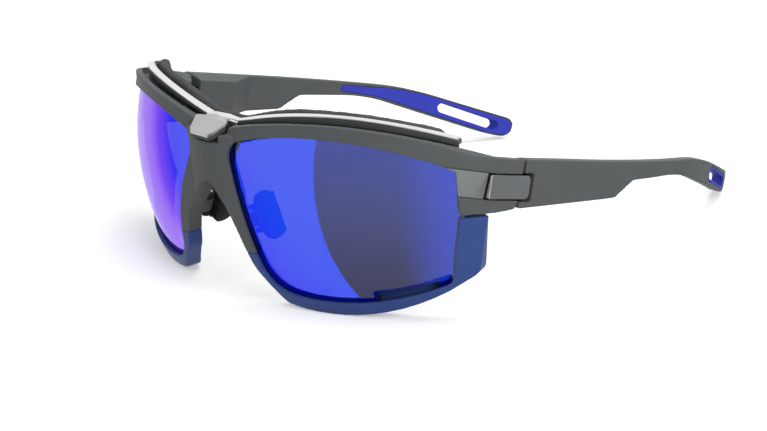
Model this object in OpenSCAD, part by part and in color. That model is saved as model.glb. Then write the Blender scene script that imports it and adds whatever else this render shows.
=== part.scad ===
// Wrap sport glasses with folding, tilting temples and a clip-on brow pad.
// X points to the wearer's left, the front faces -Y, Z points up from the table.

/* [Lens] */
// Radius of the lens front
lens_curve = 66; // [63:0.5:70]
// Thickness of a lens
lens_thick = 2.2; // [1.6:0.1:2.6]
// Angle that each lens is turned towards its temple
face_wrap = 25.2; // [23:0.2:27]
// Distance between the two lens centres
eye_spacing = 21.8; // [20:0.2:25]
// Height of the opening above the lens centre
opening_up = 18.6; // [17:0.2:20]
// Depth of the opening below the lens centre
opening_down = 25.4; // [23:0.2:27]
// Reach of the opening towards the nose, at its upper corner
opening_nose = 32.6; // [31:0.2:33.4]
// Reach of the opening towards the nose, at its lower corner
opening_foot = 20.6; // [19:0.2:21.4]
// Reach of the opening towards the temple
opening_side = 32.2; // [30.4:0.2:33]
// Edge of the lens that sits in the rim
lens_margin = 1; // [0.6:0.1:1.2]
// Wall between the lens edge and the nose
nose_wall = 0.5; // [0.4:0.05:0.8]
// Length of the vent notch in the lower lens edge
vent_length = 16; // [8:1:18]
// Height of the vent notch above the rim
vent_rise = 1.8; // [1:0.1:3]

/* [Front] */
// Rim standing proud of the lens front
rim_proud = 1.4; // [0.8:0.1:2]
// Rim standing behind the lens back
rim_back = 0.8; // [0.6:0.1:1.4]
// Height of the brow above the opening
brow_height = 3.55; // [3.3:0.05:5]
// Height of the lower rim below the opening
lower_rim_height = 3.6; // [2.5:0.1:5]
// Width of the lower rim beside the opening, at the temple
side_rim_width = 6.4; // [4:0.1:7]
// Height of the underside of the bridge above the lens centre
bridge_under = 3.3; // [1:0.1:5]
// Start of the blue lower rim beside the nose, below the lens centre
nose_split = 14.4; // [11:0.2:17]
// Bridge standing in front of the valley between the lenses
bridge_proud = 1.6; // [0.6:0.1:2.4]

/* [Hinge] */
// Fold axis inside the side edge of the opening
fold_in = 0.25; // [0:0.05:0.6]
// Fold axis behind the side edge of the opening
fold_behind = 10.6; // [10:0.1:12]
// Fold axis above the lens centre
fold_up = 5.55; // [4.8:0.05:6.2]
// Downward slope of the temples
temple_slope = 14.4; // [13:0.1:15.4]
// Height of the metal band between the fork's jaws
band_height = 6.8; // [6:0.1:7.2]
// Radius of the link's barrel
barrel_radius = 4; // [3.5:0.1:4.2]
// Diameter of the fold pin
fold_pin_d = 1.8; // [1.4:0.1:2.4]
// Diameter of the tilt pin
tilt_pin_d = 1.6; // [1.2:0.1:2.2]
// Thickness of the satin plate ahead of the hinge
plate_thick = 1.2; // [0.8:0.1:1.6]
// Parting line behind the fold axis
parting = 6.5; // [6:0.1:7]
// Gap at the parting line, which lets the temple tilt
parting_gap = 0.8; // [0.7:0.05:1.2]

/* [Temple] */
// Length from the fold axis to the tip, along the temple
temple_length = 118; // [112:1:124]
// Height of the temple's top edge above the fold axis
temple_up = 7.15; // [6.8:0.05:7.6]
// Depth of the temple's root below the fold axis
temple_down = 5.4; // [5:0.1:6.2]
// Thickness of the arm
arm_thick = 3.4; // [3:0.1:4.2]
// Outer face of the arm outside the fold axis
arm_out = 5.2; // [4.8:0.1:5.8]
// Radius of the temple's inward bend
bend_radius = 157; // [140:1:220]
// Straight length before the inward bend
bend_start = 33; // [32:1:42]
// Height of the tip
tip_height = 6; // [5.6:0.1:7]
// Length of the strap slot
slot_length = 18.5; // [12:0.5:20]
// Height of the strap slot
slot_height = 2.9; // [2:0.1:3.2]
// Start of the grip, from the fold axis
grip_start = 64; // [60:1:70]
// Depth that the grip is let into the arm
grip_depth = 1.3; // [0.8:0.1:1.8]

/* [Brow pad] */
// Top of the pad's trim above the brow
bar_rise = 1.75; // [1.4:0.05:2.4]
// Depth of the ledge behind the brow's crest that the pad stands over
ledge_drop = 1.9; // [1.6:0.1:2.1]
// Width of the brow's crest in front of the ledge
crest_width = 1.8; // [1.5:0.1:2.2]
// Gap between the brow's crest and the pad
bar_gap = 1.55; // [1.2:0.05:1.9]
// Underside of the pad's carrier below the crest
carrier_drop = 0.5; // [0.3:0.1:0.8]
// Width of the pad's carrier, front to back
bar_width = 2.5; // [2.1:0.1:3]
// Reach of the carrier towards the temple
bar_reach = 30.2; // [28:0.2:31]
// Thickness of the silver trim
trim_thick = 0.6; // [0.4:0.1:0.9]
// Thickness of the foam
foam_thick = 3.2; // [2.5:0.1:4.2]
// Height of the foam
foam_height = 8.5; // [6:0.1:10]
// Top of the foam below the trim
foam_drop = 0.4; // [0:0.1:1]
// Length of the centre shield, front to back
shield_length = 10.4; // [9:0.1:11]
// Half the width of the centre shield
shield_half = 6.4; // [5.8:0.1:7]

/* [Nose pads] */
// Nose pad pin beside the middle of the glasses
pad_pin_x = 10.6; // [10.2:0.1:11]
// Nose pad pin behind the rim's back
pad_pin_back = 2.5; // [2.4:0.1:3]
// Nose pad pin below the lens centre
pad_pin_down = 7; // [6:0.1:8]
// Lean of the nose pads, wider at the bottom
pad_lean = 24.8; // [20:0.2:28]
// Height of a nose pad
pad_height = 13; // [11:0.1:14]
// Depth of a nose pad, front to back
pad_depth = 6; // [5:0.1:7]
// Thickness of a nose pad
pad_thick = 2.4; // [1.6:0.1:2.8]
// Diameter of the nose pad pin
pad_pin_d = 1.2; // [0.8:0.1:1.6]

/* [Fits] */
// Gap round a piece that is seated in another
seat_gap = 0.05; // [0.02:0.01:0.1]
// Gap between a pin and the bore that turns on it
pin_gap = 0.04; // [0.02:0.01:0.08]
// Gap between pieces that move past each other
run_gap = 0.35; // [0.3:0.05:0.5]

/* [Hidden] */
$fn = 96;
reach = 150;
// Stations along the front, as distances from the lens axis
middle_u = -46;
cheek_over = 5.8;
cheek_u = opening_side + cheek_over;
arc_steps = 24;
// Arcs and corners of the lens opening, as [crown, radius] or a corner radius
top_arc = [-3.5, 86];
bottom_arc = [-5, 90];
nose_corner = 5;
foot_corner = 11;
side_corner = 3.5;
kink_corner = 2;
sharp_corner = 1.2;
side_top_lean = 0.9;
side_low_lean = 3;
kink_down = 0.7;
top_ends = [10.6, 6.2];
bottom_ends = [9.2, 11.6];
top_steps = 12;
bottom_steps = 9;
vent_start = 9.5;
vent_end = vent_start + vent_length;
// Arcs of the brow, the lower rim and the pad
brow_arc = [-1, 104];
brow_side_arc = [-1, 90];
low_arc = [-3.6, 66];
bar_arc = [-1, 85];
// Radii about the lens centre
rim_out = lens_curve + rim_proud;
rim_in = lens_curve - lens_thick - rim_back;
brow_out = sqrt(rim_out * rim_out - opening_up * opening_up);
brow_top = opening_up + brow_height;
bar_top = brow_top + bar_rise;
bar_out = brow_out - crest_width - bar_gap;
bar_in = bar_out - bar_width;
bar_stations = along(middle_u, bar_reach, arc_steps);
trim_inset = 0.6;
foam_in = bar_in - seat_gap - foam_thick;
// The fold axis follows the side edge of the opening
side_w = sqrt(rim_out * rim_out - opening_side * opening_side);
eye_x = eye_spacing / 2;
eye_z = opening_down + lower_rim_height;
fold_x = eye_x + opening_side * cos(face_wrap) + side_w * sin(face_wrap) - fold_in;
fold_dy = opening_side * sin(face_wrap) - side_w * cos(face_wrap) + fold_behind;
fold_z = eye_z + fold_up;
// The middle of the glasses lies between the shield's front and the temple tips
shield_slope = 15;
shield_overlap = 1.2;
shield_drop = 3.3;
shield_up = brow_top - shield_drop;
shield_dy = shield_overlap - sqrt(bar_out * bar_out - eye_x * eye_x);
shield_front = shield_dy - shield_length * cos(shield_slope);
tip_back = fold_dy + temple_length * cos(temple_slope);
eye_y = -(shield_front + tip_back) / 2;
fold_y = eye_y + fold_dy;
// Lower rim: its corner below the hinge and its end beside the nose
cheek_top = 8;
cheek_waist = [-0.2, -1];
cheek_low_over = 3.2;
cheek_low = opening_side + cheek_low_over;
cheek_round = 4;
cheek_slant = 35;
cheek_end = opening_side + side_rim_width;
low_in = 4.2;
low_from = opening_side - low_in;
low_to = -19;
low_end = -31;
low_steps = 12;
nose_end_down = 12;
// Root of the brow above the hinge
brow_foot_over = 3.8;
brow_foot_up = 6;
brow_foot = [opening_side + brow_foot_over, brow_foot_up];
// Fork and link
skin_over = 1;
side_bow = 20;
fork_over = 1.8;
fork_top_u = opening_side + fork_over;
fork_rise = 0.4;
jaw_over = 0.25;
jaw_top_drop = 0.15;
jaw_bottom_drop = 0.1;
jaw_flare = 3.4;
jaw_slant = 1.4;
jaw_slant_down = 2.9;
jaw_root = 2.5;
jaw_in = 4;
link_under = 0.45;
link_out = arm_out - link_under;
jaw_out = link_out + jaw_over;
jaw_up = temple_up - jaw_top_drop;
jaw_down = temple_down + jaw_bottom_drop;
jaw_front_down = jaw_down + jaw_flare;
jaw_front = fold_behind + jaw_root;
plate_set = 0.15;
plate_root = 1;
pin_inset = 0.6;
link_half = band_height / 2 - run_gap;
link_tail = 10;
link_round = 1.4;
link_in = 1.7;
tenon_end = 18;
tenon_half = 2.4;
tilt_axis = 14.5;
tilt_room = 0.62;
tilt_cover = 1;
root_in = 3.4;
root_end = 20;
root_taper = 30;
top_fall = 15;
// The temple tip hangs just above the table
tip_corner = 3;
tip_sink = 1.04;
tip_lift = 1;
tip_low = (tip_corner - fold_z + (temple_length - tip_corner) * sin(temple_slope)) / cos(temple_slope)
        - tip_corner * tip_sink + tip_lift;
tip_top = tip_low + tip_height;
tip_lean = 0.3;
tip_round = 2.2;
bend_steps = 20;
bend_over = 3;
droop_back = 32;
droop_start = temple_length - droop_back;
droop_round = 90;
// Most radius of the grip's droop, per length of its flat top
grip_ease = 5;
step_foot = 42.5;
step_run = 7;
step_foot_z = -2.45;
step_head_z = 2.15;
step_round = 3;
neck_y = 73;
neck_z = 3.5;
neck_round = 60;
heel_back = 7;
heel_up = 0.6;
heel_round = 20;
root_round = 0.6;
grip_inset = 0.5;
grip_proud = 0.2;
grip_corner = 0.7;
grip_neck = 4;
grip_neck_round = 50;
grip_foot_up = 0.8;
slot_wall = 0.7;
slot_back = 5.6;
slot_up = 0.5;
slot_lean = 2;
// Nose pads
lug_radius = 1.5;
lug_half = 2;
lug_root = 1;
ear_height = 1.5;
ear_root = 0.6;
arm_half = 0.7;
arm_gap = 0.4;
arm_inset = 0.8;
arm_front = lug_radius + arm_gap;
pad_end = 1;
arm_height = pad_height - 2 * pad_end;
pad_corner = 2.6;
pad_crown = 26;
pad_side = pad_pin_x - eye_x;
pad_rim_y = sqrt(rim_in * rim_in - pad_side * pad_side - pad_pin_down * pad_pin_down);
pad_at = [pad_pin_x, eye_y - pad_rim_y + pad_pin_back, eye_z - pad_pin_down];
arch_foot_up = 0.8;
arch_below = 2;
// Nose arch: half width, height from the lens centre and round of each corner
arch = [
    [1.5, bridge_under, 4],
    [9.6, -7.7, 25],
    [13.8, -18.7, 14],
    [21.6, arch_foot_up - eye_z, 7],
    [34, -arch_below - eye_z, 0]
];
// Bridge
bridge_half = 9;
bridge_bow = 22;
bridge_u = -36;
// Shield outline
shield_low = 4.6;
shield_tip = 3.2;
shield_shoulder = 0.52;
shield_bevel = 0.9;
shield_thick = 1;
shield_base = 1.4;
// Feet that set the carrier in the ledge
foot_places = [-20, 15];
foot_width = 3;
foot_depth = 0.7;
foot_set = 0.6;
foot_thick = 1.2;
// Foam stations and sides, and its drawn-in ends
foam_stations = 45;
foam_sides = 16;
foam_power = 0.6;
foam_end_share = 0.93;
foam_tip_share = 0.2;
foam_short = 5;

function unit(a) = a / norm(a);
function flat(p) = [p[0], p[1]];
function flip(points) = [for (i = [len(points) - 1 : -1 : 0]) points[i]];
// Evenly spaced stations
function along(from, to, n) = [for (i = [0 : n]) from + (to - from) * i / n];

// Points of a round of radius r that joins the lines a-b and b-c
function round_corner(a, b, c, r, n = 6) =
    let (
        p = unit(a - b),
        q = unit(c - b),
        half = acos(max(-1, min(1, p * q))) / 2,
        mid = b + unit(p + q) * r / sin(half),
        from = b + p * r / tan(half) - mid,
        to = b + q * r / tan(half) - mid,
        a0 = atan2(from[1], from[0]),
        turn = atan2(to[1], to[0]) - a0,
        sweep = turn > 180 ? turn - 360 : turn < -180 ? turn + 360 : turn
    )
    [for (i = [0 : n]) mid + r * [cos(a0 + sweep * i / n), sin(a0 + sweep * i / n)]];

// Closed outline through corners [x, y, radius]; a radius of 0 keeps the point
function rounded(corners) =
    let (n = len(corners))
    [for (i = [0 : n - 1])
        each corners[i][2] == 0
            ? [flat(corners[i])]
            : round_corner(flat(corners[(i + n - 1) % n]), flat(corners[i]),
                           flat(corners[(i + 1) % n]), corners[i][2])];

// Fall of an arc [crown, radius] away from its crown
function fall(u, arc) = arc[1] - sqrt(arc[1] * arc[1] - (u - arc[0]) * (u - arc[0]));

function brow_v(u) = brow_top - fall(u, u < brow_arc[0] ? brow_arc : brow_side_arc);
function bar_arc_v(u) = bar_top - fall(u, bar_arc);
function bar_v(u) = u < 0 ? max(bar_arc_v(u), shield_up) : bar_arc_v(u);
function low_v(u) = fall(u, low_arc) - eye_z;

// Lens opening, grown by m on every side, seen along the lens axis
function opening(m) =
    let (
        nose = opening_nose + m,
        foot = opening_foot + m,
        side = opening_side + m,
        low = side - side_low_lean
    )
    rounded(concat(
        [[-nose, opening_up + m - fall(-nose, top_arc), nose_corner]],
        [for (u = along(top_ends[0] - nose, side - top_ends[1], top_steps))
            [u, opening_up + m - fall(u, top_arc), 0]],
        [[side - side_top_lean, opening_up + m - fall(side, top_arc), sharp_corner]],
        [[side, -kink_down, kink_corner]],
        [[low, fall(low, bottom_arc) - opening_down - m, side_corner]],
        [for (u = along(side - bottom_ends[0], bottom_ends[1] - foot, bottom_steps))
            [u, fall(u, bottom_arc) - opening_down - m, 0]],
        [[-foot, fall(-foot, bottom_arc) - opening_down - m, foot_corner]]
    ));

// Point at (u, v) on a sphere about the left lens centre
function lens_point(u, v, r) =
    let (w = sqrt(r * r - u * u - v * v))
    [eye_x + u * cos(face_wrap) + w * sin(face_wrap),
     eye_y + u * sin(face_wrap) - w * cos(face_wrap),
     eye_z + v];

// Place of a point along and above the sloped temple line
function hinge_yz(p) =
    let (dy = p[1] - fold_y, dz = p[2] - fold_z)
    [dy * cos(temple_slope) - dz * sin(temple_slope),
     dy * sin(temple_slope) + dz * cos(temple_slope)];

module at_eye() translate([eye_x, eye_y, eye_z]) rotate([0, 0, face_wrap]) children();
module at_hinge() translate([fold_x, fold_y, fold_z]) rotate([-temple_slope, 0, 0]) children();
module at_pad() translate(pad_at) rotate([0, -pad_lean, 0]) children();
module at_shield()
    translate([0, eye_y + shield_dy, eye_z + shield_up]) rotate([shield_slope, 0, 0]) children();
module right() mirror([1, 0, 0]) children();

// Outline (u, v) pushed outwards from the lens centre
module outward(points) rotate([90, 0, 0]) linear_extrude(reach) polygon(points);
// Side outline (y, z) pushed across from x0 to x1
module across(points, x0, x1)
    translate([x0, 0, 0]) rotate([90, 0, 90]) linear_extrude(x1 - x0) polygon(points);
module block(from, to) translate(from) cube(to - from);
module left_half() block([0, -reach, -reach], [reach, reach, reach]);
module shell(outer, inner) difference() { sphere(outer); sphere(inner); }

// Room round a lens in the rim
module lens_groove() difference() {
    at_eye() intersection() {
        outward(opening(lens_margin + seat_gap));
        shell(lens_curve + seat_gap, lens_curve - lens_thick - seat_gap);
    }
    translate([nose_wall - seat_gap, 0, 0]) nose_arch();
}

// Room for the nose
module nose_arch() {
    other = [for (corner = flip(arch)) [-corner[0], corner[1], corner[2]]];
    translate([0, eye_y, eye_z]) rotate([90, 0, 0]) linear_extrude(reach)
        polygon(rounded(concat(arch, other)));
}

// Outer skin of the front on one side, set in by t
module front_skin(t) {
    at_eye() sphere(rim_out - t);
    at_eye() translate([0, 0, opening_up / 2]) cylinder(r = brow_out - t, h = reach);
}
// Side of the front: a flat beside the hinge, bowed into the skin ahead of it
module side_limit(t) {
    skin = sqrt(rim_out * rim_out - fold_up * fold_up);
    x = fold_x + jaw_out - side_bow;
    dy = -sqrt((skin - side_bow) * (skin - side_bow) - (x - eye_x) * (x - eye_x));
    block([-reach, eye_y + dy, -reach], [fold_x + jaw_out - t, reach, reach]);
    block([-reach, -reach, -reach], [reach, eye_y + dy * skin / (skin - side_bow), reach]);
    translate([x, eye_y + dy, -reach]) cylinder(r = side_bow - t, h = 2 * reach);
}

// Side outline of the fork
function fork_side() =
    let (corner = hinge_yz(lens_point(fork_top_u, brow_v(fork_top_u), rim_out + skin_over)))
    [[-jaw_front, -jaw_front_down], [parting - jaw_slant, -jaw_down], [parting, -jaw_slant_down],
     [parting, jaw_up], [-barrel_radius, temple_up + jaw_over], corner,
     [-jaw_front, corner[1] + fork_rise]];

// The fork's slot: the barrel's room, and the link's way in as it folds
module fork_slot() {
    half = band_height / 2;
    translate([0, 0, -half]) cylinder(r = barrel_radius + run_gap, h = band_height);
    block([0, -barrel_radius - run_gap, -half], [reach, reach, half]);
    block([-reach, -link_in - run_gap, -half], [0, reach, half]);
}

// Top of the hinge at a height, falling away behind the arm's inner face
module inner_fall(height, from, to) translate([arm_out - arm_thick, 0, height]) rotate([0, -top_fall, 0])
    block([-reach, from, 0], [0, to, reach]);

module fork() at_hinge() difference() {
    across(fork_side(), -jaw_in, jaw_out);
    translate([0, 0, -reach]) cylinder(d = fold_pin_d + 2 * seat_gap, h = 2 * reach);
    jaw_round();
    inner_fall(jaw_up, -reach, reach);
}

// Rounds the jaws' rear inner ends about the fold axis
module jaw_round() difference() {
    block([-jaw_in - skin_over, 0, -reach], [0, parting + skin_over, reach]);
    translate([0, 0, -reach]) cylinder(r = parting - jaw_slant, h = 2 * reach);
}

// Block that the satin plate is cut from, grown by g
module plate_block(g) at_hinge() block(
    [-jaw_in, -jaw_front - plate_root, -band_height / 2 - g],
    [reach, g - barrel_radius - run_gap, band_height / 2 + g]
);

// Front of the plate's bed, t below the skin
module plate_bed(t) intersection() {
    at_eye() sphere(rim_out - t);
    side_limit(t);
}

// Ledge behind the brow's crest, open upwards
module ledge_room() at_eye() intersection() {
    outward(concat(
        [for (u = along(middle_u, cheek_u, arc_steps)) [u, brow_v(u) - ledge_drop]],
        [[cheek_u, reach], [middle_u, reach]]
    ));
    cylinder(r = brow_out - crest_width, h = reach);
}

// Feet of the carrier, grown by g
module carrier_feet(g) at_eye() for (u = foot_places) {
    half = foot_width / 2 + g;
    low = brow_v(u) - ledge_drop - foot_depth - g;
    intersection() {
        outward([[u - half, low], [u + half, low], [u + half, brow_v(u)], [u - half, brow_v(u)]]);
        difference() {
            cylinder(r = bar_out - foot_set + g, h = reach);
            cylinder(r = bar_out - foot_set - foot_thick - g, h = reach);
        }
    }
}

// Rim, fork and bridge of one side, before its cuts
module front_body() difference() {
    union() {
        intersection() {
            union() {
                at_eye() difference() {
                    outward(concat(
                        [for (u = along(middle_u, cheek_u, arc_steps)) [u, brow_v(u)]],
                        [brow_foot, [0, -nose_split], [middle_u, -nose_split]]
                    ));
                    sphere(rim_in);
                }
                fork();
            }
            front_skin(0);
            side_limit(0);
            left_half();
        }
        half_bridge();
    }
    nose_arch();
}

module front_half() difference() {
    union() {
        front_body();
        pad_lug();
    }
    at_eye() outward(opening(0));
    lens_groove();
    ledge_room();
    carrier_feet(run_gap);
    shield_room();
    at_hinge() fork_slot();
    difference() {
        plate_block(seat_gap);
        plate_bed(plate_set + plate_thick + seat_gap);
    }
}

// Bowed block that fills the valley between the two lens spheres
module half_bridge() {
    front = eye_y - sqrt(rim_out * rim_out - eye_x * eye_x) - bridge_proud;
    intersection() {
        translate([0, front + bridge_bow, eye_z - nose_split])
            cylinder(r = bridge_bow, h = nose_split + brow_v(bridge_u));
        block([0, front, 0], [bridge_half, front + rim_out - rim_in + bridge_proud, reach]);
    }
}

// Lug behind the nasal rim that carries the nose pad
module pad_lug() at_pad() difference() {
    union() {
        translate([0, 0, -lug_half]) cylinder(r = lug_radius, h = 2 * lug_half);
        block([-lug_radius, -pad_pin_back - lug_root, -lug_half], [lug_radius, 0, lug_half]);
    }
    translate([0, 0, -reach]) cylinder(d = pad_pin_d + 2 * seat_gap, h = 2 * reach);
}

// Outline of the centre shield, grown by g
function shield_outline(g) =
    let (s = shield_length + g)
    [[shield_half + g, g], [shield_half + g, -s * shield_shoulder],
     [shield_low + g, -s + shield_bevel], [shield_tip + g, -s],
     [-shield_tip - g, -s], [-shield_low - g, -s + shield_bevel],
     [-shield_half - g, -s * shield_shoulder], [-shield_half - g, g]];

// Pocket in the bridge under the centre shield
module shield_room() at_shield() translate([0, 0, -shield_thick - shield_base - run_gap])
    linear_extrude(reach) polygon(shield_outline(run_gap));

module front_frame() color("#575c5d") union() {
    front_half();
    right() front_half();
}

module lens() color("#3c46e0") difference() {
    at_eye() intersection() {
        outward(opening(lens_margin));
        shell(lens_curve, lens_curve - lens_thick);
    }
    translate([nose_wall, 0, 0]) nose_arch();
    at_eye() outward([
        [vent_start, -reach],
        [vent_end, -reach],
        [vent_end, fall(vent_end, bottom_arc) - opening_down + vent_rise],
        [vent_start, fall(vent_start, bottom_arc) - opening_down + vent_rise]
    ]);
}
module lens_left() lens();
module lens_right() right() lens();

// Outline of the lower rim, open at the top
function low_outline() = rounded(concat(
    [[cheek_end, cheek_top, 0]],
    [[cheek_end + cheek_waist[0], cheek_waist[1], 0]],
    [[cheek_low, low_v(cheek_low), cheek_round]],
    [for (u = along(low_from, low_to, low_steps)) [u, low_v(u), 0]],
    [[low_end, -nose_end_down, 0], [low_end, cheek_top, 0]]
));

// Room above the lower rim for the fork's lower jaw
module jaw_room() at_hinge() across([
    [-reach, reach],
    [-reach, -jaw_front_down - run_gap],
    [-jaw_front, -jaw_front_down - run_gap],
    [reach, -jaw_down - run_gap],
    [reach, reach]
], -fold_x / 2, reach);

module lower_rim() color("#41598a") difference() {
    at_eye() intersection() {
        outward(low_outline());
        shell(rim_out, rim_in);
    }
    at_eye() outward(opening(0));
    lens_groove();
    nose_arch();
    at_eye() block([-reach, -reach, -nose_split - seat_gap], [0, reach, reach]);
    at_eye() translate([cheek_end, -sqrt(rim_out * rim_out - cheek_end * cheek_end), 0])
        rotate([0, 0, cheek_slant]) block([0, -reach, -reach], [reach, reach, reach]);
    jaw_room();
}
module lower_rim_left() lower_rim();
module lower_rim_right() right() lower_rim();

module hinge_plate() color("#8b8d8f") difference() {
    intersection() {
        plate_block(0);
        plate_bed(plate_set);
    }
    plate_bed(plate_set + plate_thick);
    at_eye() outward(opening(seat_gap));
}
module hinge_plate_left() hinge_plate();
module hinge_plate_right() right() hinge_plate();

module fold_pin() color("#c9cbcd") at_hinge()
    translate([0, 0, pin_inset - jaw_down]) cylinder(d = fold_pin_d, h = jaw_down + jaw_up - 2 * pin_inset);
module fold_pin_left() fold_pin();
module fold_pin_right() right() fold_pin();

// Bore for the tilt pin, grown by g, closed at the arm's outer face
module tilt_bore(g) translate([-reach, tilt_axis, 0]) rotate([0, 90, 0])
    cylinder(d = tilt_pin_d + 2 * g, h = reach + arm_out - tilt_cover);

module hinge_link() color("#d4d6d8") at_hinge() difference() {
    union() {
        translate([0, 0, -link_half]) cylinder(r = barrel_radius, h = 2 * link_half);
        across(rounded([
            [0, -link_half, 0], [link_tail, -link_half, link_round],
            [link_tail, link_half, link_round], [0, link_half, 0]
        ]), -link_in, link_out);
        block([0, -barrel_radius, -link_half], [link_out, 0, link_half]);
        block([-link_in, 0, -tenon_half], [link_in, tenon_end, tenon_half]);
    }
    translate([0, 0, -reach]) cylinder(d = fold_pin_d + 2 * pin_gap, h = 2 * reach);
    tilt_bore(seat_gap);
}
module hinge_link_left() hinge_link();
module hinge_link_right() right() hinge_link();

module tilt_pin() color("#c9cbcd") at_hinge()
    translate([pin_inset - root_in, tilt_axis, 0]) rotate([0, 90, 0])
        cylinder(d = tilt_pin_d, h = root_in + arm_out - tilt_cover - pin_inset - seat_gap);
module tilt_pin_left() tilt_pin();
module tilt_pin_right() right() tilt_pin();

// Side outline of a temple
function temple_side() = rounded([
    [parting + parting_gap - jaw_slant, -temple_down, root_round],
    [parting + parting_gap, -jaw_slant_down, 0],
    [parting + parting_gap, temple_up, root_round],
    [droop_start, temple_up, droop_round],
    [temple_length, tip_top, tip_round],
    [temple_length - tip_lean, tip_low, tip_corner],
    [temple_length - heel_back, tip_low + heel_up, heel_round],
    [neck_y, neck_z, neck_round],
    [step_foot + step_run, step_head_z, step_round],
    [step_foot, step_foot_z, step_round]
]);

// Inlay outline of a grip
function grip_side() = rounded([
    [grip_start, temple_up - grip_inset - grip_corner, grip_corner],
    [droop_start, temple_up - grip_inset,
        min(droop_round - grip_inset, grip_ease * (droop_start - grip_start))],
    [temple_length - grip_inset, tip_top - grip_inset, tip_round - grip_inset],
    [temple_length - grip_inset - tip_lean, tip_low + grip_inset, tip_corner - grip_inset],
    [temple_length - heel_back, tip_low + heel_up + grip_inset, heel_round - grip_inset],
    [neck_y + grip_neck, neck_z, grip_neck_round],
    [grip_start, neck_z + grip_foot_up, grip_corner]
]);

// Strap slot in the tip, grown by g
module strap_slot(g) {
    half = slot_height / 2 + g;
    run = slot_length - slot_height;
    lean = atan2(tip_top - temple_up, temple_length - droop_start) - slot_lean;
    translate([0, temple_length - slot_back, (tip_top + tip_low) / 2 + slot_up]) rotate([lean, 0, 0]) {
        for (y = [0, -run])
            translate([-reach, y, 0]) rotate([0, 90, 0]) cylinder(r = half, h = 2 * reach);
        block([-reach, -run, -half], [reach, 0, half]);
    }
}

// Edge of the arm's plan at a depth below its outer face
function arm_edge(depth) =
    let (
        r = bend_radius - depth,
        turn = asin((temple_length - bend_start + bend_over) / (bend_radius - arm_thick - grip_proud))
    )
    concat(
        [[arm_out - depth, 0]],
        [for (a = along(0, turn, bend_steps))
            [arm_out - bend_radius + r * cos(a), bend_start + r * sin(a)]]
    );

// Plan of the arm between two depths
module arm_plan(outer, inner)
    linear_extrude(2 * reach, center = true) polygon(concat(arm_edge(outer), flip(arm_edge(inner))));

// Block at the hinge that holds the link's tenon
module temple_root() linear_extrude(2 * reach, center = true) polygon([
    [-root_in, 0], [-root_in, root_end], [arm_out - arm_thick, root_taper],
    [arm_out - arm_thick / 2, root_taper], [arm_out - arm_thick / 2, 0]
]);

module temple() color("#575c5d") at_hinge() difference() {
    intersection() {
        across(temple_side(), -reach, reach);
        union() {
            arm_plan(0, arm_thick);
            temple_root();
        }
    }
    link_room();
    inner_fall(temple_up, 0, root_taper);
    tilt_bore(pin_gap);
    strap_slot(slot_wall + seat_gap);
    intersection() {
        across(grip_side(), -reach, reach);
        arm_plan(arm_thick - grip_depth - seat_gap, arm_thick + 2 * grip_proud);
    }
}

// Room in the root for the link's tail and tenon, wide enough for the tilt
module link_room() {
    side = link_in + run_gap;
    tenon = tenon_half + tilt_room;
    tail = link_half + tilt_room;
    block([-side, 0, -tenon], [side, tenon_end + tilt_room, tenon]);
    block([-side, 0, -tail], [reach, link_tail + tilt_room, tail]);
}
module temple_left() temple();
module temple_right() right() temple();

module temple_grip() color("#3a3fc0") at_hinge() difference() {
    union() {
        intersection() {
            across(grip_side(), -reach, reach);
            arm_plan(arm_thick - grip_depth, arm_thick + grip_proud);
        }
        intersection() {
            strap_slot(slot_wall);
            arm_plan(0, arm_thick);
        }
    }
    strap_slot(0);
}
module temple_grip_left() temple_grip();
module temple_grip_right() right() temple_grip();

module nose_pad_arm() color("#2a2b2d") at_pad() difference() {
    union() {
        for (z = [lug_half + run_gap, -lug_half - run_gap - ear_height]) {
            translate([0, 0, z]) cylinder(r = lug_radius, h = ear_height);
            block([-arm_half, 0, z], [lug_radius, arm_front + ear_root, z + ear_height]);
        }
        block([-arm_half, arm_front, -arm_height / 2],
              [arm_half, arm_front + pad_depth - arm_inset, arm_height / 2]);
    }
    translate([0, 0, -reach]) cylinder(d = pad_pin_d + 2 * pin_gap, h = 2 * reach);
}
module nose_pad_arm_left() nose_pad_arm();
module nose_pad_arm_right() right() nose_pad_arm();

module nose_pin() color("#c9cbcd") at_pad() {
    half = lug_half + run_gap + ear_height;
    translate([0, 0, -half]) cylinder(d = pad_pin_d, h = 2 * half);
}
module nose_pin_left() nose_pin();
module nose_pin_right() right() nose_pin();

module nose_pad() color("#232426") at_pad() intersection() {
    across(rounded([
        [arm_front, -pad_height / 2, pad_corner], [arm_front + pad_depth, -pad_height / 2, pad_corner],
        [arm_front + pad_depth, pad_height / 2, pad_corner], [arm_front, pad_height / 2, pad_corner]
    ]), -arm_half - pad_thick, -arm_half - seat_gap);
    translate([pad_crown - arm_half - pad_thick, arm_front + pad_depth / 2, 0]) sphere(pad_crown);
}
module nose_pad_left() nose_pad();
module nose_pad_right() right() nose_pad();

// Half of a strip along the pad between two heights, given at each station
module half_strip(lower, upper, inner) intersection() {
    at_eye() difference() {
        outward(concat(lower, flip(upper)));
        cylinder(r = inner, h = reach);
    }
    at_eye() cylinder(r = bar_out, h = reach);
    left_half();
}

module half_carrier() half_strip(
    [for (u = bar_stations) [u, brow_v(u) - carrier_drop]],
    [for (u = bar_stations) [u, bar_v(u) - trim_thick]],
    bar_in
);

module sweat_bar_carrier() color("#303234") difference() {
    union() {
        half_carrier();
        carrier_feet(0);
        right() half_carrier();
        right() carrier_feet(0);
        at_shield() translate([0, 0, -shield_thick - shield_base]) linear_extrude(shield_base)
            polygon(shield_outline(0));
    }
    at_shield() translate([0, 0, -shield_thick]) linear_extrude(reach) polygon(shield_outline(seat_gap));
}

module half_trim() half_strip(
    [for (u = bar_stations) [u, bar_v(u) - trim_thick + seat_gap]],
    [for (u = bar_stations) [u, bar_v(u)]],
    bar_in + trim_inset
);

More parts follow.
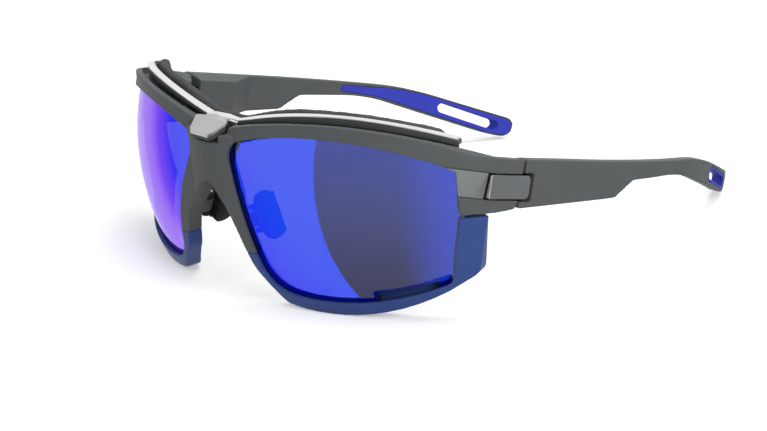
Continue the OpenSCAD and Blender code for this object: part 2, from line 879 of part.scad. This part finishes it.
module sweat_bar_trim() color("#c4c6c8") union() {
    half_trim();
    right() half_trim();
    at_shield() translate([0, 0, -shield_thick + seat_gap]) linear_extrude(shield_thick - seat_gap)
        polygon(shield_outline(0));
}

// Foam pad: a crowned strip along the brow with drawn-in ends
function power(a) = sign(a) * pow(abs(a), foam_power);
function foam_ring(s) =
    let (
        mid_r = foam_in + foam_thick / 2,
        from = asin(-eye_x / mid_r),
        to = face_wrap + asin((bar_reach - foam_short) / mid_r),
        side = s < 0 ? -1 : 1,
        a = from + (to - from) * abs(s),
        past = max(0, abs(s) - foam_end_share) / (1 - foam_end_share),
        draw = max(foam_tip_share, sqrt(1 - past * past)),
        v = bar_v(mid_r * sin(a - face_wrap)) - foam_drop - foam_height / 2
    )
    [for (i = [0 : foam_sides - 1])
        let (
            r = mid_r + foam_thick / 2 * draw * power(cos(360 * i / foam_sides)),
            z = v + foam_height / 2 * draw * power(sin(360 * i / foam_sides))
        )
        [side * (eye_x + r * sin(a)), eye_y - r * cos(a), eye_z + z]];

// Number of corner i on ring k of the foam
function foam_at(k, i) = k * foam_sides + i % foam_sides;

module sweat_bar_foam() color("#4a4b4d") {
    last = foam_stations - 1;
    rings = [for (k = [0 : last]) foam_ring(-1 + 2 * k / last)];
    walls = [for (k = [0 : last - 1], i = [0 : foam_sides - 1])
        each [[foam_at(k, i), foam_at(k, i + 1), foam_at(k + 1, i)],
              [foam_at(k, i + 1), foam_at(k + 1, i + 1), foam_at(k + 1, i)]]];
    caps = [for (i = [1 : foam_sides - 2])
        each [[foam_at(0, 0), foam_at(0, i + 1), foam_at(0, i)],
              [foam_at(last, 0), foam_at(last, i), foam_at(last, i + 1)]]];
    polyhedron([for (ring = rings) each ring], concat(walls, caps));
}

front_frame();
lens_left();
lens_right();
lower_rim_left();
lower_rim_right();
hinge_plate_left();
hinge_plate_right();
fold_pin_left();
fold_pin_right();
hinge_link_left();
hinge_link_right();
tilt_pin_left();
tilt_pin_right();
temple_left();
temple_right();
temple_grip_left();
temple_grip_right();
nose_pad_arm_left();
nose_pad_arm_right();
nose_pin_left();
nose_pin_right();
nose_pad_left();
nose_pad_right();
sweat_bar_carrier();
sweat_bar_trim();
sweat_bar_foam();
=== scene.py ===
import math

import bmesh
import bpy
from mathutils import Matrix, Vector


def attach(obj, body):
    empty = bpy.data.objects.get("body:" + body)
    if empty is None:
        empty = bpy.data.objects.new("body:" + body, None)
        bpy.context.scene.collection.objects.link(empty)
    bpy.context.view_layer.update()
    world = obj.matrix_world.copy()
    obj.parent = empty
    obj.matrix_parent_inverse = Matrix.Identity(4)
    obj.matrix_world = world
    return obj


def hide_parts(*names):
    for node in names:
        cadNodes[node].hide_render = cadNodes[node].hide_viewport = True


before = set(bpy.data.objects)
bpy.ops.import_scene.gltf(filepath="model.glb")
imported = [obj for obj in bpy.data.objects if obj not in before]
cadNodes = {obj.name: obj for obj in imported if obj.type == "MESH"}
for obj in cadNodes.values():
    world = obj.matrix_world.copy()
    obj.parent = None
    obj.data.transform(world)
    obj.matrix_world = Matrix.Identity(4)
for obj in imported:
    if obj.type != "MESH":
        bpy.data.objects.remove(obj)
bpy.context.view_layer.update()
mm = 0.001
sides = {"left": 1, "right": -1}
mergeWithin = 0.002
cutWithin = 0.001


# Shader sockets as values, so that maths on a finish reads as an expression
class Wire:
    def __init__(self, tree, socket):
        self.tree = tree
        self.socket = socket

    def node(self, kind, settings, sockets, output=0):
        made = self.tree.nodes.new(kind)
        for key, value in settings.items():
            if key == "stops":
                setStops(made.color_ramp, value)
            else:
                setattr(made, key, value)
        for key, value in sockets.items():
            if isinstance(value, Wire):
                self.tree.links.new(value.socket, made.inputs[key])
            else:
                made.inputs[key].default_value = value
        return Wire(self.tree, made.outputs[output] if made.outputs else None)

    def math(self, operation, first, second):
        return self.node("ShaderNodeMath", {"operation": operation}, {0: first, 1: second})

    def __add__(self, other):
        return self.math("ADD", self, other)

    def __sub__(self, other):
        return self.math("SUBTRACT", self, other)

    def __rsub__(self, other):
        return self.math("SUBTRACT", other, self)

    def __mul__(self, other):
        return self.math("MULTIPLY", self, other)

    __radd__ = __add__
    __rmul__ = __mul__


def setStops(ramp, stops):
    for place, colour in stops[len(ramp.elements):]:
        ramp.elements.new(place)
    for element, (place, colour) in zip(ramp.elements, stops):
        element.position = place
        element.color = colour if len(colour) == 4 else (*colour, 1)


def startTree(owner):
    owner.use_nodes = True
    owner.node_tree.nodes.clear()
    return Wire(owner.node_tree, None)


# Camera at the viewing angle of the photograph
camera = {
    "place": (471.7, -429.57, 213.7), "azimuth": 48.72, "elevation": 18.24, "roll": -2.94,
    "focalPixels": 2378, "imageWidth": 767, "sensor": 36,
}


def makeCamera(c):
    azimuth, elevation, roll = (math.radians(c[key]) for key in ("azimuth", "elevation", "roll"))
    level = math.cos(elevation)
    ahead = Vector((-math.sin(azimuth) * level, math.cos(azimuth) * level, -math.sin(elevation)))
    flatRight = ahead.cross(Vector((0, 0, 1))).normalized()
    flatUp = flatRight.cross(ahead)
    right = flatRight * math.cos(roll) + flatUp * math.sin(roll)
    up = right.cross(ahead)
    data = bpy.data.cameras.new("photoCamera")
    data.sensor_width = c["sensor"]
    data.lens = c["focalPixels"] * c["sensor"] / c["imageWidth"]
    made = bpy.data.objects.new("photoCamera", data)
    turn = Matrix((right, up, -ahead)).transposed().to_4x4()
    made.matrix_world = Matrix.Translation(Vector(c["place"]) * mm) @ turn
    bpy.context.scene.collection.objects.link(made)
    bpy.context.scene.camera = made
    return made


makeCamera(camera)
bpy.context.scene.view_settings.view_transform = "Standard"
print("camera set")

# Studio: white surround, a dark card to the right that only reflections see, soft lamps
studio = {
    "fill": 0.44, "cardEdge": -6, "cardSoft": 0.6, "cardEnd": 205, "cardFade": 30, "cardHigh": (0.45, 0.65),
    "cardRise": (-0.8, 0.25),
    "cardTop": (0.33, 0.4, 0.38), "cardLow": (0.14, 0.1, 0.13), "cardPale": (0.8, 0.85, 0.85),
    "paleFrom": (28.0, 58.0), "paleTo": (75.0, 95.0), "paleShare": 0.55,
    "floorSize": 6, "floorGrey": 0.8, "floorGlow": 0.36,
}


def makeWorld(s):
    world = bpy.data.worlds.new("studioSurround")
    bpy.context.scene.world = world
    w = startTree(world)
    direction = w.node("ShaderNodeTexCoord", {}, {}, "Generated")
    x = w.node("ShaderNodeSeparateXYZ", {}, {0: direction}, 0)
    y = w.node("ShaderNodeSeparateXYZ", {}, {0: direction}, 1)
    z = w.node("ShaderNodeSeparateXYZ", {}, {0: direction}, 2)
    bearing = w.math("ARCTAN2", x, y * -1) * (180 / math.pi)
    start = s["cardEdge"]
    near = w.node("ShaderNodeMapRange", {"interpolation_type": "SMOOTHSTEP"},
                  {0: bearing, 1: start - s["cardSoft"], 2: start + s["cardSoft"], 3: 0.0, 4: 1.0})
    far = w.node("ShaderNodeMapRange", {"interpolation_type": "SMOOTHSTEP"},
                 {0: bearing, 1: s["cardEnd"] - s["cardFade"], 2: s["cardEnd"], 3: 1.0, 4: 0.0})
    low = w.node("ShaderNodeMapRange", {"interpolation_type": "SMOOTHSTEP"},
                 {0: z, 1: s["cardHigh"][0], 2: s["cardHigh"][1], 3: 1.0, 4: 0.0})
    height = w.node("ShaderNodeMapRange", {},
                    {0: z, 1: s["cardRise"][0], 2: s["cardRise"][1], 3: 0.0, 4: 1.0})
    card = w.node("ShaderNodeMix", {"data_type": "RGBA"},
                  {0: height, 6: (*s["cardLow"], 1), 7: (*s["cardTop"], 1)}, 2)
    pale = [w.node("ShaderNodeMapRange", {"interpolation_type": "SMOOTHSTEP"},
                   {0: bearing, 1: ends[0], 2: ends[1], 3: 0.0, 4: 1.0})
            for ends in (s["paleFrom"], s["paleTo"])]
    card = w.node("ShaderNodeMix", {"data_type": "RGBA"},
                  {0: pale[0] * (1 - pale[1]) * s["paleShare"], 6: card, 7: (*s["cardPale"], 1)}, 2)
    mirrored = w.node("ShaderNodeMix", {"data_type": "RGBA"},
                      {0: near * far * low, 6: (1, 1, 1, 1), 7: card}, 2)
    rays = {name: w.node("ShaderNodeLightPath", {}, {}, name)
            for name in ("Is Camera Ray", "Is Glossy Ray", "Is Transmission Ray")}
    seen = w.math("MAXIMUM", rays["Is Camera Ray"], rays["Is Transmission Ray"])
    fill = w.node("ShaderNodeMix", {"data_type": "RGBA"},
                  {0: seen, 6: (s["fill"], s["fill"], s["fill"], 1), 7: (1, 1, 1, 1)}, 2)
    colour = w.node("ShaderNodeMix", {"data_type": "RGBA"},
                    {0: rays["Is Glossy Ray"], 6: fill, 7: mirrored}, 2)
    light = w.node("ShaderNodeBackground", {}, {"Color": colour, "Strength": 1.0})
    w.node("ShaderNodeOutputWorld", {}, {"Surface": light})


def makeFloor(s):
    bm = bmesh.new()
    bmesh.ops.create_grid(bm, x_segments=1, y_segments=1, size=s["floorSize"] / 2)
    mesh = bpy.data.meshes.new("studioFloor")
    bm.to_mesh(mesh)
    bm.free()
    floor = bpy.data.objects.new("studioFloor", mesh)
    bpy.context.scene.collection.objects.link(floor)
    finish = bpy.data.materials.new("studioFloor")
    w = startTree(finish)
    grey = s["floorGrey"]
    matte = w.node("ShaderNodeBsdfDiffuse", {}, {"Color": (grey, grey, grey, 1)})
    seen = w.node("ShaderNodeLightPath", {}, {}, "Is Camera Ray")
    glow = w.node("ShaderNodeEmission", {}, {"Color": (1, 1, 1, 1), "Strength": seen * s["floorGlow"]})
    both = w.node("ShaderNodeAddShader", {}, {0: matte, 1: glow})
    w.node("ShaderNodeOutputMaterial", {}, {"Surface": both})
    mesh.materials.append(finish)
    floor.visible_glossy = False


lamps = {
    "keyLamp": {"place": (-0.5, -0.9, 1.0), "size": 0.9, "power": 1.5},
    "topLamp": {"place": (0.1, 0.3, 1.3), "size": 1.0, "power": 10},
    "sideLamp": {"place": (1.2, -0.2, 0.6), "size": 0.8, "power": 12},
}


def makeLamps(each):
    for name, lamp in each.items():
        data = bpy.data.lights.new(name, "AREA")
        data.size = lamp["size"]
        data.energy = lamp["power"]
        made = bpy.data.objects.new(name, data)
        made.location = lamp["place"]
        made.rotation_mode = "QUATERNION"
        made.rotation_quaternion = (-Vector(lamp["place"])).to_track_quat("-Z", "Y")
        made.visible_glossy = False
        bpy.context.scene.collection.objects.link(made)


makeWorld(studio)
makeFloor(studio)
makeLamps(lamps)
print("studio lit")


# Finishes: a cloudy colour, uneven roughness and a fine grain on each
def solidFinish(name, f):
    made = bpy.data.materials.new(name)
    w = startTree(made)
    place = w.node("ShaderNodeTexCoord", {}, {}, "Object")
    drawn = w.node("ShaderNodeMapping", {}, {"Vector": place, "Scale": f.get("stretch", (1, 1, 1))})
    cloud = w.node("ShaderNodeTexNoise", {}, {"Vector": drawn, "Scale": f["cloudScale"], "Detail": 3.0})
    if f.get("cells"):
        grain = w.node("ShaderNodeTexVoronoi", {}, {"Vector": drawn, "Scale": f["grainScale"]})
    else:
        grain = w.node("ShaderNodeTexNoise", {}, {"Vector": drawn, "Scale": f["grainScale"], "Detail": 2.0})
    colour = w.node("ShaderNodeMix", {"data_type": "RGBA"},
                    {0: cloud, 6: (*f["dark"], 1), 7: (*f["light"], 1)}, 2)
    rough = cloud * f["roughSwing"] + (f["rough"] - f["roughSwing"] / 2)
    relief = w.node("ShaderNodeBump", {},
                    {"Strength": f["bump"], "Distance": f["depth"] * mm, "Height": grain})
    surface = w.node("ShaderNodeBsdfPrincipled", {},
                     {"Base Color": colour, "Roughness": rough, "Metallic": f.get("metal", 0.0),
                      "Normal": relief, "Specular IOR Level": f.get("shine", 0.5)})
    w.node("ShaderNodeOutputMaterial", {}, {"Surface": surface})
    return made


# Mirror coat on a brown lens: the coat turns violet at a slant, and some light comes through
def mirrorFinish(name, f):
    made = bpy.data.materials.new(name)
    w = startTree(made)
    place = w.node("ShaderNodeTexCoord", {}, {}, "Object")
    cloud = w.node("ShaderNodeTexNoise", {}, {"Vector": place, "Scale": f["cloudScale"], "Detail": 2.0})
    slant = w.node("ShaderNodeLayerWeight", {}, {"Blend": 0.5}, "Facing")
    tint = w.node("ShaderNodeValToRGB", {"stops": f["tints"]}, {0: slant})
    rough = cloud * f["roughSwing"] + f["rough"]
    coat = w.node("ShaderNodeBsdfPrincipled", {},
                  {"Base Color": tint, "Roughness": rough, "Metallic": 1.0, "Coat Weight": f["coat"],
                   "Coat Roughness": f["rough"], "Specular Tint": (*f["edgeTint"], 1)})
    through = w.node("ShaderNodeBsdfTransparent", {}, {"Color": (*f["through"], 1)})
    both = w.node("ShaderNodeAddShader", {}, {0: coat, 1: through})
    w.node("ShaderNodeOutputMaterial", {}, {"Surface": both})
    return made


def smokeFinish(name, f):
    made = bpy.data.materials.new(name)
    w = startTree(made)
    place = w.node("ShaderNodeTexCoord", {}, {}, "Object")
    cloud = w.node("ShaderNodeTexNoise", {}, {"Vector": place, "Scale": f["cloudScale"], "Detail": 2.0})
    colour = w.node("ShaderNodeMix", {"data_type": "RGBA"},
                    {0: cloud, 6: (*f["dark"], 1), 7: (*f["light"], 1)}, 2)
    gloss = w.node("ShaderNodeBsdfPrincipled", {},
                   {"Base Color": colour, "Roughness": cloud * f["roughSwing"] + f["rough"]})
    through = w.node("ShaderNodeBsdfTransparent", {}, {"Color": (*f["through"], 1)})
    both = w.node("ShaderNodeMixShader", {}, {0: f["clear"], 1: gloss, 2: through})
    w.node("ShaderNodeOutputMaterial", {}, {"Surface": both})
    return made


plastic = {
    "cloudScale": 90.0, "grainScale": 4200.0, "rough": 0.5, "roughSwing": 0.12, "bump": 0.25, "depth": 0.03,
    "shine": 0.16,
}
metal = {
    "cloudScale": 120.0, "grainScale": 900.0, "roughSwing": 0.08, "bump": 0.08, "depth": 0.02, "metal": 1.0,
}
finishSpecs = {
    "frameGrey": {**plastic, "dark": (0.074, 0.081, 0.083), "light": (0.088, 0.095, 0.097)},
    "carrierBlack": {**plastic, "dark": (0.05, 0.051, 0.052), "light": (0.066, 0.067, 0.068), "rough": 0.4},
    "rimBlue": {**plastic, "dark": (0.03, 0.06, 0.2), "light": (0.037, 0.072, 0.23), "rough": 0.45},
    "padPlastic": {**plastic, "dark": (0.016, 0.016, 0.018), "light": (0.026, 0.026, 0.028), "rough": 0.38},
    "padRubber": {**plastic, "dark": (0.012, 0.012, 0.013), "light": (0.02, 0.02, 0.022), "rough": 0.6},
    "gripRubber": {**plastic, "dark": (0.026, 0.036, 0.37), "light": (0.034, 0.044, 0.44), "rough": 0.58,
                   "shine": 0.35},
    "satinMetal": {**metal, "dark": (0.4, 0.4, 0.4), "light": (0.48, 0.48, 0.48), "rough": 0.36,
                   "stretch": (1, 1, 12)},
    "polishedMetal": {**metal, "dark": (0.66, 0.66, 0.66), "light": (0.74, 0.74, 0.74), "rough": 0.12},
    "pinSteel": {**metal, "dark": (0.5, 0.5, 0.51), "light": (0.6, 0.6, 0.61), "rough": 0.25},
    "silverTrim": {**metal, "dark": (0.8, 0.8, 0.8), "light": (0.88, 0.88, 0.88), "rough": 0.36},
    "shieldSilver": {**metal, "dark": (0.42, 0.42, 0.42), "light": (0.56, 0.56, 0.56), "rough": 0.3},
    "browFoam": {"cloudScale": 220.0, "grainScale": 3600.0, "cells": True, "dark": (0.062, 0.06, 0.06),
                 "light": (0.09, 0.087, 0.087), "rough": 0.92, "roughSwing": 0.1, "bump": 0.6, "depth": 0.12,
                 "shine": 0.2},
    # The lens edge is painted dark navy: a painted reflection of the dark rim wall beside it, not the edge's
    # own colour
    "lensEdgePaintedReflection": {**plastic, "dark": (0.006, 0.008, 0.03), "light": (0.012, 0.014, 0.05), "rough": 0.2},
}
finishes = {name: solidFinish(name, spec) for name, spec in finishSpecs.items()}
finishes["mirrorCoat"] = mirrorFinish("mirrorCoat", {
    "tints": [(0.0, (0.002, 0.06, 0.88)), (0.3, (0.004, 0.05, 0.87)), (0.48, (0.005, 0.015, 0.87)),
              (0.59, (0.2, 0.08, 0.9)), (0.67, (0.42, 0.25, 0.93)), (0.9, (0.75, 0.62, 0.97))],
    "cloudScale": 60.0, "rough": 0.02, "roughSwing": 0.015, "coat": 0.1, "edgeTint": (0.5, 0.36, 0.94),
    "through": (0.24, 0.25, 0.08),
})
finishes["lensBack"] = smokeFinish("lensBack", {
    "dark": (0.012, 0.01, 0.008), "light": (0.02, 0.016, 0.013), "cloudScale": 60.0, "rough": 0.05,
    "roughSwing": 0.03, "clear": 0.9, "through": (0.28, 0.26, 0.2),
})
print("finishes mixed")


def keep(name, mesh, body, node):
    piece = bpy.data.objects.new(name, mesh)
    bpy.context.scene.collection.objects.link(piece)
    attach(piece, body)
    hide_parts(node)
    print(name, len(mesh.polygons), "faces")
    return piece


def cadCopy(node):
    bm = bmesh.new()
    bm.from_mesh(cadNodes[node].data)
    bmesh.ops.remove_doubles(bm, verts=bm.verts, dist=mergeWithin * mm)
    return bm


# One closed skin over everything in a mesh, with softened edges
skin = {"soften": 0.5, "keepFaces": 0.5}


def drawSkin(bm, voxel, rounds, thinned):
    mesh = bpy.data.meshes.new("rough")
    bm.to_mesh(mesh)
    bm.free()
    rough = bpy.data.objects.new("rough", mesh)
    bpy.context.scene.collection.objects.link(rough)
    remesh = rough.modifiers.new("skin", "REMESH")
    remesh.mode = "VOXEL"
    remesh.voxel_size = voxel
    soften = rough.modifiers.new("soften", "SMOOTH")
    soften.factor = skin["soften"]
    soften.iterations = rounds
    if thinned:
        rough.modifiers.new("thin", "DECIMATE").ratio = skin["keepFaces"]
    graph = bpy.context.evaluated_depsgraph_get()
    made = bpy.data.meshes.new_from_object(rough.evaluated_get(graph))
    bpy.data.objects.remove(rough)
    bpy.data.meshes.remove(mesh)
    return made


# A moulded piece: the node's own shape, and what is added to it, under one skin
def makeMoulded(name, c, side=""):
    node = c["node"].format(side)
    bm = cadCopy(node)
    if "shape" in c:
        c["shape"](bm, side)
    made = drawSkin(bm, c["voxel"] * mm, c["rounds"], True)
    made.name = name
    made.materials.clear()
    made.materials.append(finishes[c["finish"]])
    made.shade_smooth()
    return keep(name, made, c["body"].format(side), node)


# Lenses: the sphere's own normals on both faces, so that the mirror runs true
lens = {"eye": (10.9, -7.86187, 29), "front": 65.9, "back": 63.9}


def makeLens(side, c):
    eye = Vector((c["eye"][0] * sides[side], c["eye"][1], c["eye"][2])) * mm
    bm = cadCopy("lens_" + side)
    for face in bm.faces:
        radii = [(corner.co - eye).length / mm for corner in face.verts]
        face.material_index = 0 if min(radii) > c["front"] else 1 if max(radii) < c["back"] else 2
        face.smooth = True
    mesh = bpy.data.meshes.new("lens." + side)
    bm.to_mesh(mesh)
    bm.free()
    # The third finish, on the edge faces, is the painted reflection of the dark rim wall
    for finish in ("mirrorCoat", "lensBack", "lensEdgePaintedReflection"):
        mesh.materials.append(finishes[finish])
    normals = []
    for face in mesh.polygons:
        for corner in face.vertices:
            out = (mesh.vertices[corner].co - eye).normalized()
            normals.append((out, -out, face.normal.copy())[face.material_index])
    mesh.normals_split_custom_set(normals)
    return keep("lens." + side, mesh, "front", "lens_" + side)


# Pieces that a node's copy gets before its skin is drawn
def addPart(bm, part):
    mesh = bpy.data.meshes.new("part")
    part.to_mesh(mesh)
    part.free()
    bm.from_mesh(mesh)
    bpy.data.meshes.remove(mesh)


# The shield: a plate with a neck, level at the back, that breaks down at its ridge
shield = {
    "half": [(3.2, -66.8), (3.4, -69.6), (4.2, -71.2), (6.2, -72.2), (6.4, -72.9), (4.7, -76.2),
             (3.5, -77.1)],
    "heights": [(-66.0, 47.75), (-72.64, 48.1), (-76.44, 45.8), (-77.4, 45.1)],
    "thick": 1.2, "bevel": 0.35, "bevelSteps": 3, "cut": -69.4, "sharp": 0.9,
}
shieldBase = {
    "half": [(2.8, -66.8), (3.0, -69.6), (4.0, -71.4), (5.8, -72.5), (5.9, -73.0), (4.4, -75.9),
             (3.2, -76.6)],
    "heights": [(-66.0, 46.6), (-72.64, 46.95), (-76.44, 44.65), (-77.4, 43.95)],
    "thick": 1.3, "bevel": 0.2, "bevelSteps": 3, "cut": -69.4, "sharp": 0.9,
}


def heightAt(y, heights):
    for (y0, z0), (y1, z1) in zip(heights, heights[1:]):
        if y >= y1:
            return z0 + (z1 - z0) * (y - y0) / (y1 - y0)
    return heights[-1][1]


def addShield(bm, c):
    cut = bmesh.ops.bisect_plane(bm, geom=bm.verts[:] + bm.edges[:] + bm.faces[:], dist=cutWithin * mm,
                                 plane_co=(0, c["cut"] * mm, 0), plane_no=(0, -1, 0), clear_outer=True)
    edges = [item for item in cut["geom_cut"] if isinstance(item, bmesh.types.BMEdge)]
    bmesh.ops.triangle_fill(bm, edges=edges, use_beauty=True)
    part = bmesh.new()
    outline = c["half"] + [(-x, y) for x, y in reversed(c["half"])]
    part.faces.new([part.verts.new((x * mm, y * mm, 0)) for x, y in outline])
    for y, z in c["heights"][1:-1]:
        bmesh.ops.bisect_plane(part, geom=part.verts[:] + part.edges[:] + part.faces[:],
                               plane_co=(0, y * mm, 0), plane_no=(0, 1, 0))
    for corner in part.verts:
        corner.co.z = heightAt(corner.co.y / mm, c["heights"]) * mm
    under = bmesh.ops.extrude_face_region(part, geom=part.faces[:], use_keep_orig=True)["geom"]
    bmesh.ops.translate(part, vec=(0, 0, -c["thick"] * mm),
                        verts=[item for item in under if isinstance(item, bmesh.types.BMVert)])
    bmesh.ops.recalc_face_normals(part, faces=part.faces)
    rims = [edge for edge in part.edges if edge.is_manifold and edge.calc_face_angle() > c["sharp"]]
    bmesh.ops.bevel(part, geom=rims, offset=c["bevel"] * mm, offset_type="OFFSET", segments=c["bevelSteps"],
                    profile=0.5, affect="EDGES", material=-1)
    addPart(bm, part)


# Lower rim: a wall behind the vent notch, and a top that meets the jaw
rimWall = {"from": 7.5, "to": 27.5, "below": 2.2, "above": 2.4, "radius": 63.3, "thick": 0.7, "arc": (-5, 90),
           "low": -25.4, "wrap": 25.2, "steps": (24, 4)}
cheekTop = {"from": (62, 25.7), "start": -47.7, "run": 6, "least": 0.3, "most": 1.6}


def lensPlace(u, v, radius, side):
    wrap = math.radians(rimWall["wrap"])
    w = math.sqrt(radius * radius - u * u - v * v)
    x = lens["eye"][0] + u * math.cos(wrap) + w * math.sin(wrap)
    y = lens["eye"][1] + u * math.sin(wrap) - w * math.cos(wrap)
    return Vector((x * sides[side], y, lens["eye"][2] + v)) * mm


def addVentWall(bm, side, c):
    part = bmesh.new()
    bmesh.ops.create_grid(part, x_segments=c["steps"][0], y_segments=c["steps"][1], size=0.5)
    for corner in part.verts:
        u = c["from"] + (c["to"] - c["from"]) * (corner.co.x + 0.5)
        edge = c["low"] + c["arc"][1] - math.sqrt(c["arc"][1] ** 2 - (u - c["arc"][0]) ** 2)
        v = edge - c["below"] + (c["below"] + c["above"]) * (corner.co.y + 0.5)
        corner.co = lensPlace(u, v, c["radius"], side)
    bmesh.ops.solidify(part, geom=part.faces[:], thickness=c["thick"] * mm)
    bmesh.ops.recalc_face_normals(part, faces=part.faces)
    addPart(bm, part)


def raiseCheek(bm, c):
    for corner in bm.verts:
        if abs(corner.co.x) > c["from"][0] * mm and corner.co.z > c["from"][1] * mm:
            share = min(max((corner.co.y / mm - c["start"]) / c["run"], 0), 1)
            corner.co.z += (c["least"] + (c["most"] - c["least"]) * share) * mm


def finishRim(bm, side):
    raiseCheek(bm, cheekTop)
    addVentWall(bm, side, rimWall)


# Temple: a cap over the inner end of its tilt pin
tiltCap = {"fold": (64.9962, -37.1273, 34.55), "slope": 14.4, "along": 14.5, "inside": -3.0,
           "radius": 1.05, "depth": 0.8, "segments": 24}


def capTilt(bm, side):
    c = tiltCap
    slope = math.radians(c["slope"])
    x, y, z = c["fold"]
    place = Vector(((x + c["inside"]) * sides[side], y + c["along"] * math.cos(slope),
                    z - c["along"] * math.sin(slope))) * mm
    crosswise = Matrix.Rotation(math.pi / 2, 4, "Y")
    bmesh.ops.create_cone(bm, cap_ends=True, segments=c["segments"], radius1=c["radius"] * mm,
                          radius2=c["radius"] * mm, depth=c["depth"] * mm,
                          matrix=Matrix.Translation(place) @ crosswise)


# Foam: the solid, drawn in a little and blown up again as a closed skin, at a larger scale
foam = {"grow": 60, "voxel": 0.6, "drawIn": 0.35, "pressure": 4, "quality": 5, "frames": 20, "cap": 0.5,
        "rounds": 4, "lift": 1.1, "endFrom": 46, "endRun": 10, "endMove": (3.5, 3.0, -1.0)}


def makeFoam(c):
    bm = cadCopy("sweat_bar_foam")
    for corner in bm.verts:
        share = min(max((abs(corner.co.x) / mm - c["endFrom"]) / c["endRun"], 0), 1)
        out, back, up = (part * share * mm for part in c["endMove"])
        corner.co += Vector((math.copysign(out, corner.co.x), back, up + c["lift"] * mm))
    bmesh.ops.scale(bm, vec=(c["grow"],) * 3, verts=bm.verts)
    unit = c["grow"] * mm
    pad = drawSkin(bm, c["voxel"] * unit, c["rounds"], False)
    for corner in pad.vertices:
        corner.co -= corner.normal * c["drawIn"] * unit
    start = [corner.co.copy() for corner in pad.vertices]
    blown = bpy.data.objects.new("foamBlown", pad)
    bpy.context.scene.collection.objects.link(blown)
    cloth = blown.modifiers.new("blow", "CLOTH")
    cloth.settings.quality = c["quality"]
    cloth.settings.use_pressure = True
    cloth.settings.uniform_pressure_force = c["pressure"]
    cloth.settings.effector_weights.gravity = 0
    for number in range(1, c["frames"] + 1):
        bpy.context.scene.frame_set(number)
    graph = bpy.context.evaluated_depsgraph_get()
    full = bpy.data.meshes.new_from_object(blown.evaluated_get(graph))
    bpy.data.objects.remove(blown)
    bpy.data.meshes.remove(pad)
    pad = full
    bpy.context.scene.frame_set(1)
    most = 0
    for corner, first in zip(pad.vertices, start):
        move = corner.co - first
        most = max(most, move.length / unit)
        if move.length > c["cap"] * unit:
            corner.co = first + move.normalized() * c["cap"] * unit
        corner.co /= c["grow"]
    print("foam moved", round(most, 2), "mm at most")
    pad.materials.clear()
    pad.materials.append(finishes["browFoam"])
    pad.shade_smooth()
    pad.name = "browFoam"
    made = keep("browFoam", pad, "sweat_bar", "sweat_bar_foam")


# Moulded pieces: how fine each skin is, in millimetres, and how often it is smoothed
frontFrame = {"node": "front_frame", "body": "front", "slot": "frame_grey", "finish": "frameGrey",
              "voxel": 0.22, "rounds": 3}
pairedPieces = {
    "temple": {"node": "temple_{}", "body": "arm_{}", "slot": "frame_grey", "finish": "frameGrey",
               "voxel": 0.24, "rounds": 4, "shape": capTilt},
    "lowerRim": {"node": "lower_rim_{}", "body": "front", "slot": "rim_blue", "finish": "rimBlue",
                 "voxel": 0.22, "rounds": 3, "shape": finishRim},
    "grip": {"node": "temple_grip_{}", "body": "arm_{}", "slot": "grip_rubber", "finish": "gripRubber",
             "voxel": 0.2, "rounds": 6},
    "hingePlate": {"node": "hinge_plate_{}", "body": "front", "slot": "satin_metal", "finish": "satinMetal",
                   "voxel": 0.14, "rounds": 9},
    "hingeLink": {"node": "hinge_link_{}", "body": "link_{}", "slot": "polished_metal",
                  "finish": "polishedMetal", "voxel": 0.12, "rounds": 4},
    "padArm": {"node": "nose_pad_arm_{}", "body": "nose_{}", "slot": "pad_plastic", "finish": "padPlastic",
               "voxel": 0.12, "rounds": 5},
    "nosePad": {"node": "nose_pad_{}", "body": "nose_{}", "slot": "pad_rubber", "finish": "padRubber",
                "voxel": 0.16, "rounds": 8},
}
pinNodes = ("fold_pin_", "tilt_pin_", "nose_pin_")
padCarrier = {"node": "sweat_bar_carrier", "body": "sweat_bar", "slot": "carrier_black",
              "finish": "carrierBlack", "voxel": 0.18, "rounds": 3,
              "shape": lambda bm, side: addShield(bm, shieldBase)}
padTrim = {"node": "sweat_bar_trim", "body": "sweat_bar", "slot": "silver_trim", "finish": "silverTrim",
           "voxel": 0.12, "rounds": 3, "shape": lambda bm, side: addShield(bm, shield)}


def makeTrim(c):
    trim = makeMoulded("padTrim", c)
    trim.data.materials.append(finishes["shieldSilver"])
    for face in trim.data.polygons:
        if face.center.y < shield["cut"] * mm:
            face.material_index = 1


makeMoulded("frontFrame", frontFrame)
for side in sides:
    makeLens(side, lens)
    for name, piece in pairedPieces.items():
        makeMoulded(name + "." + side, piece, side)
    for pin in pinNodes:
        cadNodes[pin + side].data.materials[0] = finishes["pinSteel"]
makeMoulded("padCarrier", padCarrier)
makeTrim(padTrim)
makeFoam(foam)
print("pieces made")
